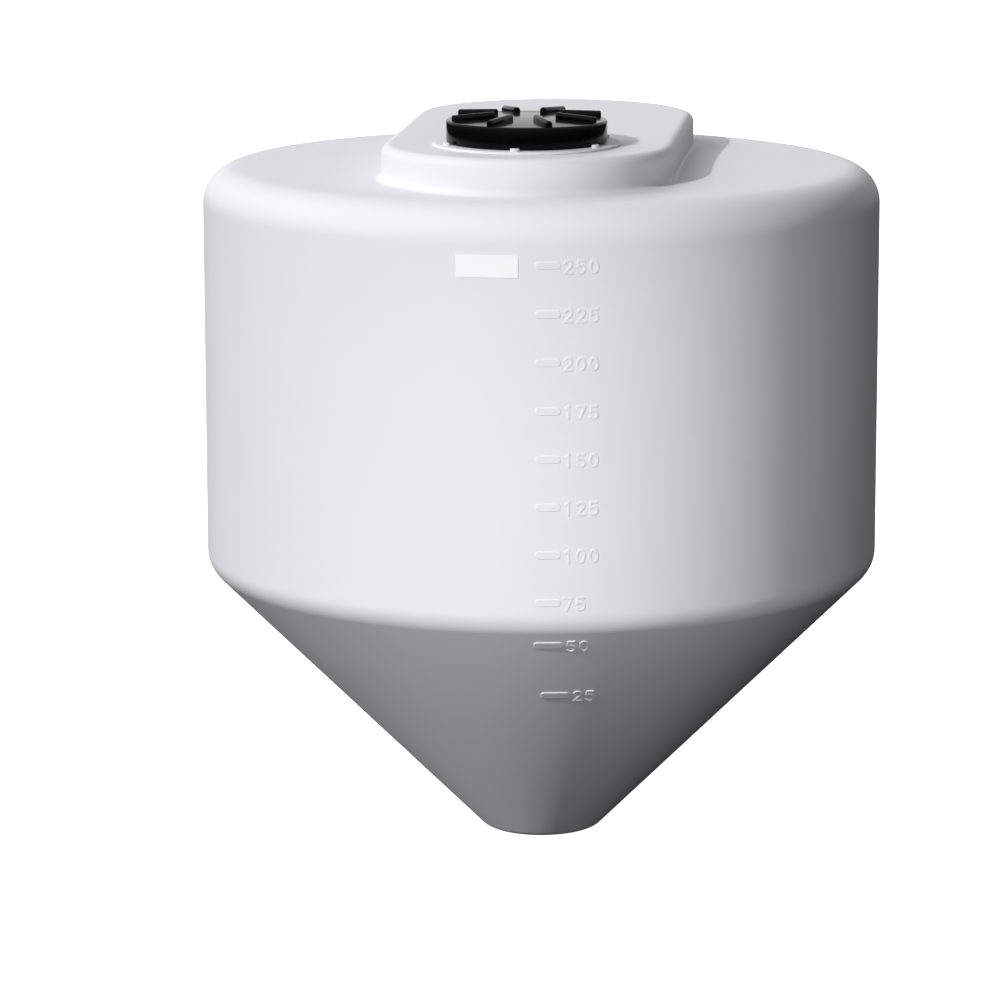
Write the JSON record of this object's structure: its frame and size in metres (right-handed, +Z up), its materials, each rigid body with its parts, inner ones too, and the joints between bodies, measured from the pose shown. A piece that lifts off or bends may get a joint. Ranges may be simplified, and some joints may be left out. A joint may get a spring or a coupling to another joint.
{
  "type": "cone-bottom storage tank",
  "caption": "Upright moulded plastic liquid storage tank with a round side, a cone bottom, a raised roof deck and a ribbed screw-on manway lid.",
  "frame": {"origin": "centre of the flat tip under the cone, on the tank's axis", "axes": "+Z up along the tank's axis, -Y towards the side of the manway lid (the front), +X to the right seen from the front"},
  "size_m": [1.2192, 1.2203, 1.3502],
  "materials": {
    "shell": "natural white moulded polyethylene, satin",
    "label": "blank white film",
    "gasket": "matt black foam rubber",
    "lid": "black moulded plastic, satin"
  },
  "bodies": {
    "tank": {"side_front": "shell", "side_front_right": "shell", "side_right": "shell", "side_back_right": "shell", "side_back": "shell", "side_back_left": "shell", "side_left": "shell", "side_front_left": "shell", "cone_front": "shell", "cone_front_right": "shell", "cone_right": "shell", "cone_back_right": "shell", "cone_back": "shell", "cone_back_left": "shell", "cone_left": "shell", "cone_front_left": "shell", "roof_front": "shell", "roof_front_right": "shell", "roof_right": "shell", "roof_back_right": "shell", "roof_back": "shell", "roof_back_left": "shell", "roof_left": "shell", "roof_front_left": "shell", "tip_plate": "shell", "deck_top_front": "shell", "deck_top_back": "shell", "deck_wall_left": "shell", "deck_wall_right": "shell", "deck_wall_front_left": "shell", "deck_wall_front_right": "shell", "deck_wall_back_left": "shell", "deck_wall_back_right": "shell", "manway_neck": "shell", "manway_ring": "shell", "ring_lug_1": "shell", "ring_lug_2": "shell", "ring_lug_3": "shell", "ring_lug_4": "shell", "ring_lug_5": "shell", "ring_lug_6": "shell", "blank_label": "label"},
    "gasket": {"lid_gasket": "gasket"},
    "lid": {"lid_disc": "lid", "lid_skirt": "lid"}
  },
  "joints": [
    {"name": "lid_lift", "type": "slide", "parent": "tank", "child": "gasket", "axis": [0, 0, 1], "range_m": [0, 0.3]},
    {"name": "lid_turn", "type": "hinge", "parent": "gasket", "child": "lid", "pos_m": [0, -0.26, 1.3], "axis": [0, 0, 1], "range_deg": [0, 270]}
  ]
}
